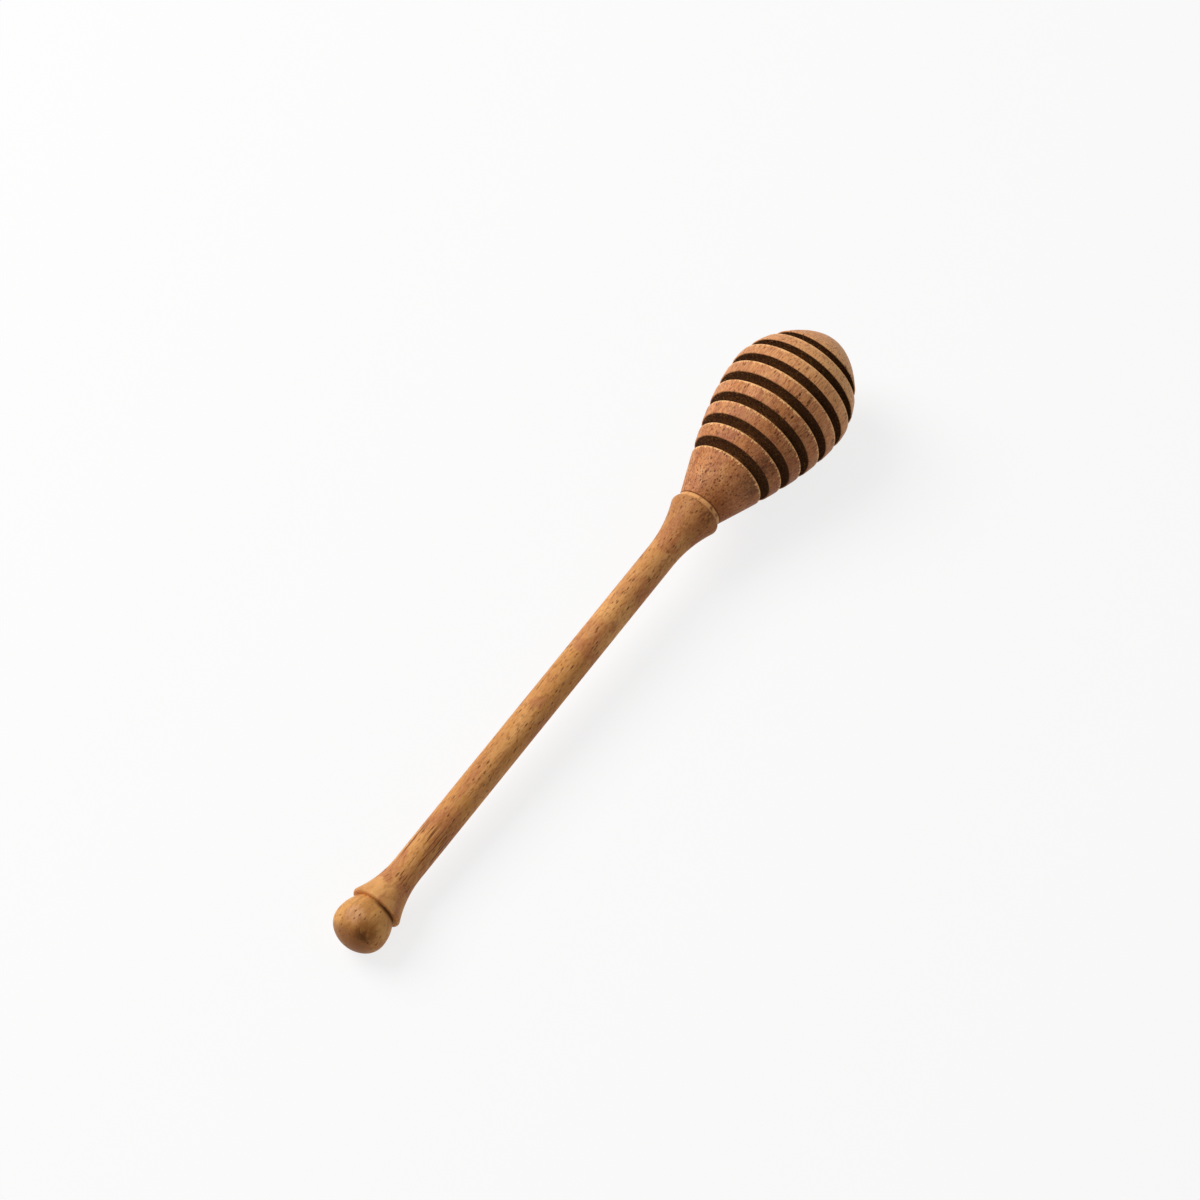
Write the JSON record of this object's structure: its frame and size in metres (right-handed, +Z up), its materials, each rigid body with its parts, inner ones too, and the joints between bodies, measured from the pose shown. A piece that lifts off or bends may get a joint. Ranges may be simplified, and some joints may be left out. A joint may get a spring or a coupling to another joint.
{
  "type": "honey dipper",
  "caption": "Turned wooden honey dipper with a grooved egg-shaped head on a cone, a slim stem, a collar, a flared skirt and a ball end.",
  "frame": {"origin": "on the table, under the middle of the dipper's length, with the ball and the head's two widest lands touching the table", "axes": "+X along the dipper from the ball towards the head, +Z up from the table; the dipper's own axis rises about 3 degrees towards the head"},
  "size_m": [0.1997, 0.0324, 0.0324],
  "materials": {
    "head_wood": "oiled satin, lands orange-tan with reddish patches, grooves charred dark brown",
    "handle_wood": "oiled satin, orange-brown with fine dark pores along the grain",
    "knob_wood": "oiled satin, darker end grain at the pole",
    "dowel_wood": "plain beech dowel, unfinished"
  },
  "bodies": {
    "root": {"head": "head_wood", "handle": "handle_wood", "knob": "knob_wood", "head_dowel": "dowel_wood", "knob_dowel": "dowel_wood"}
  },
  "joints": []
}
